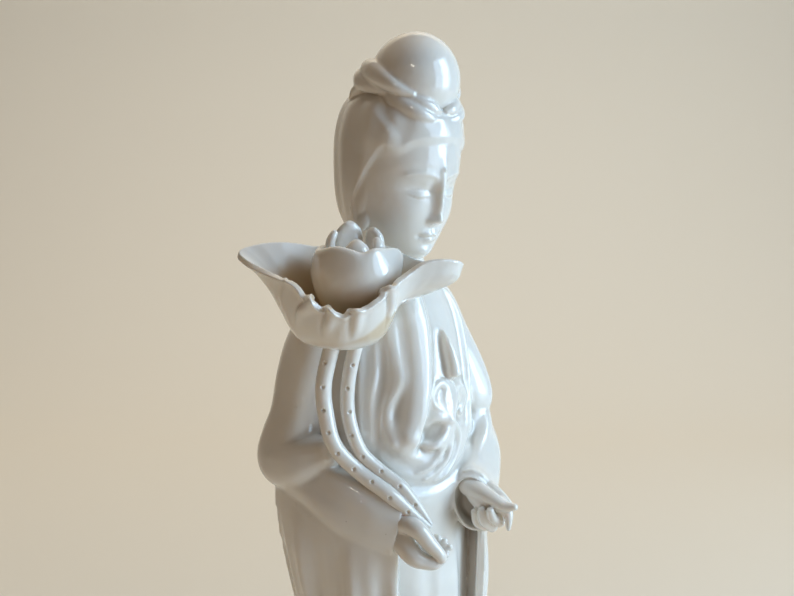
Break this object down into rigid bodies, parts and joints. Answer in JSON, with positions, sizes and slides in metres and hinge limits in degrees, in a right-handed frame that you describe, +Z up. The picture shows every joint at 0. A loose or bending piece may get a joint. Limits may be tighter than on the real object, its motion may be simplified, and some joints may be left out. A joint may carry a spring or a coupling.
{
  "type": "guanyin figure",
  "caption": "Standing robed guanyin figure with a lotus leaf and bud at the shoulder, on a low oval base, for standing on a shelf or an altar.",
  "frame": {"origin": "centre of the flat underside of the low base", "axes": "+Z up through the head, the figure faces -Y, and its right hand is towards -X"},
  "size_m": [0.1281, 0.1043, 0.4169],
  "materials": {
    "porcelain": "high gloss, cool white glaze over white porcelain"
  },
  "bodies": {
    "root": {"guanyin_figure": "porcelain"}
  },
  "joints": []
}
